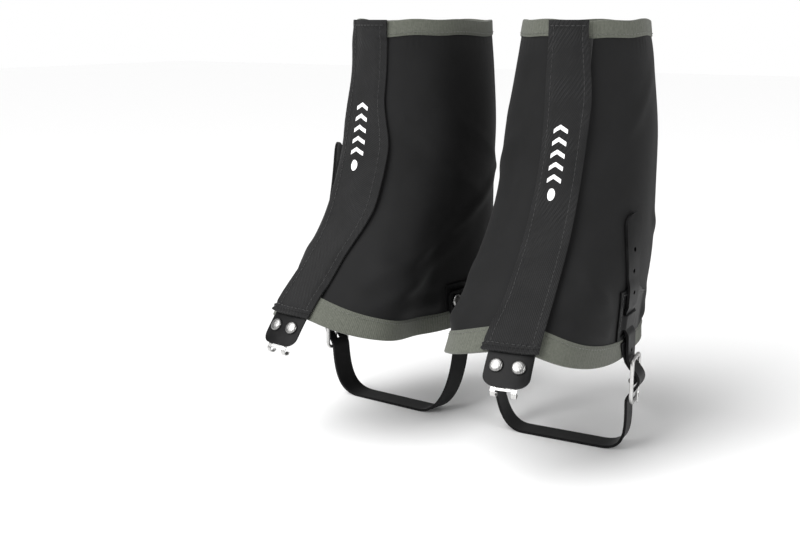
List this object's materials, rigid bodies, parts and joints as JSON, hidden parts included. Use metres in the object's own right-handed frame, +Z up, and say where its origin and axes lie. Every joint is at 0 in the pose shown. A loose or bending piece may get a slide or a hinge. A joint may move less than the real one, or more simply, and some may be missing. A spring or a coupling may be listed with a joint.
{
  "type": "pair of hiking gaiters",
  "caption": "Low ankle gaiters with a hook-and-loop front flap, elastic bindings, a riveted lace hook on a rubber tab, and a buckled under-foot strap with a keeper.",
  "frame": {"origin": "centre of the pair's footprint, at the underside of the under-foot straps", "axes": "+Z up the leg, toes towards -Y and turned out 9 degrees, +X to the left gaiter, so X runs across the pair"},
  "size_m": [0.2808, 0.2398, 0.3122],
  "materials": {
    "shell_cloth": "smooth matte black softshell",
    "flap_twill": "dark grey twill",
    "binding_elastic": "olive-grey ribbed elastic tape",
    "fastener_nylon": "black nylon hook and loop",
    "moulded_rubber": "satin charcoal thermoplastic urethane",
    "steel": "bright nickel-plated"
  },
  "bodies": {
    "left_gaiter": {"left_shell": "shell_cloth", "left_top_binding": "binding_elastic", "left_bottom_binding": "binding_elastic", "left_loop_strip": "fastener_nylon", "left_keeper_patch": "moulded_rubber", "left_anchor_patch": "moulded_rubber", "left_anchor_rivet_front": "steel", "left_anchor_rivet_rear": "steel", "left_buckle_tab": "moulded_rubber", "left_foot_strap": "moulded_rubber"},
    "left_flap": {"left_front_flap": "flap_twill", "left_hook_strip": "fastener_nylon"},
    "left_hook_tab": {"left_lace_hook_tab": "moulded_rubber", "left_lace_hook": "steel", "left_tab_rivet_medial": "steel", "left_tab_rivet_lateral": "steel"},
    "left_buckle": {"left_buckle_frame": "steel"},
    "left_pin": {"left_buckle_pin": "steel"},
    "left_tail": {"left_strap_tail": "moulded_rubber"},
    "right_gaiter": {"right_shell": "shell_cloth", "right_top_binding": "binding_elastic", "right_bottom_binding": "binding_elastic", "right_loop_strip": "fastener_nylon", "right_keeper_patch": "moulded_rubber", "right_anchor_patch": "moulded_rubber", "right_anchor_rivet_front": "steel", "right_anchor_rivet_rear": "steel", "right_buckle_tab": "moulded_rubber", "right_foot_strap": "moulded_rubber"},
    "right_flap": {"right_front_flap": "flap_twill", "right_hook_strip": "fastener_nylon"},
    "right_hook_tab": {"right_lace_hook_tab": "moulded_rubber", "right_lace_hook": "steel", "right_tab_rivet_medial": "steel", "right_tab_rivet_lateral": "steel"},
    "right_buckle": {"right_buckle_frame": "steel"},
    "right_pin": {"right_buckle_pin": "steel"},
    "right_tail": {"right_strap_tail": "moulded_rubber"}
  },
  "joints": [
    {"name": "left_flap_opening", "type": "hinge", "parent": "left_gaiter", "child": "left_flap", "pos_m": [0.07023, -0.06027, 0.20563], "axis": [0.0344, -0.4012, -0.9154], "range_deg": [0, 140]},
    {"name": "left_hook_tab_flex", "type": "hinge", "parent": "left_gaiter", "child": "left_hook_tab", "pos_m": [0.09173, -0.10214, 0.09872], "axis": [0.9895, 0.1444, 0.0061], "range_deg": [0, 20], "stiffness_Nm_per_rad": 0.05},
    {"name": "left_buckle_tilt", "type": "hinge", "parent": "left_gaiter", "child": "left_buckle", "pos_m": [0.13376, 0.01238, 0.0575], "axis": [0.1564, -0.9877, 0], "range_deg": [-4, 4]},
    {"name": "left_pin_swing", "type": "hinge", "parent": "left_buckle", "child": "left_pin", "pos_m": [0.13376, 0.01238, 0.0575], "axis": [0.1564, -0.9877, 0], "range_deg": [0, 30]},
    {"name": "left_tail_lift", "type": "hinge", "parent": "left_gaiter", "child": "left_tail", "pos_m": [0.1325, 0.00478, 0.11442], "axis": [-0.0703, 0.9975, -0.0113], "range_deg": [0, 60], "stiffness_Nm_per_rad": 0.03},
    {"name": "right_flap_opening", "type": "hinge", "parent": "right_gaiter", "child": "right_flap", "pos_m": [-0.07023, -0.06027, 0.20563], "axis": [0.0344, 0.4012, 0.9154], "range_deg": [0, 140]},
    {"name": "right_hook_tab_flex", "type": "hinge", "parent": "right_gaiter", "child": "right_hook_tab", "pos_m": [-0.09173, -0.10214, 0.09872], "axis": [0.9895, -0.1444, -0.0061], "range_deg": [0, 20], "stiffness_Nm_per_rad": 0.05},
    {"name": "right_buckle_tilt", "type": "hinge", "parent": "right_gaiter", "child": "right_buckle", "pos_m": [-0.13376, 0.01238, 0.0575], "axis": [0.1564, 0.9877, 0], "range_deg": [-4, 4]},
    {"name": "right_pin_swing", "type": "hinge", "parent": "right_buckle", "child": "right_pin", "pos_m": [-0.13376, 0.01238, 0.0575], "axis": [0.1564, 0.9877, 0], "range_deg": [0, 30]},
    {"name": "right_tail_lift", "type": "hinge", "parent": "right_gaiter", "child": "right_tail", "pos_m": [-0.1325, 0.00478, 0.11442], "axis": [-0.0703, -0.9975, 0.0113], "range_deg": [0, 60], "stiffness_Nm_per_rad": 0.03},
    {"name": "pair_spread", "type": "slide", "parent": "left_gaiter", "child": "right_gaiter", "axis": [-1, 0, 0], "range_m": [0, 0.15]}
  ]
}
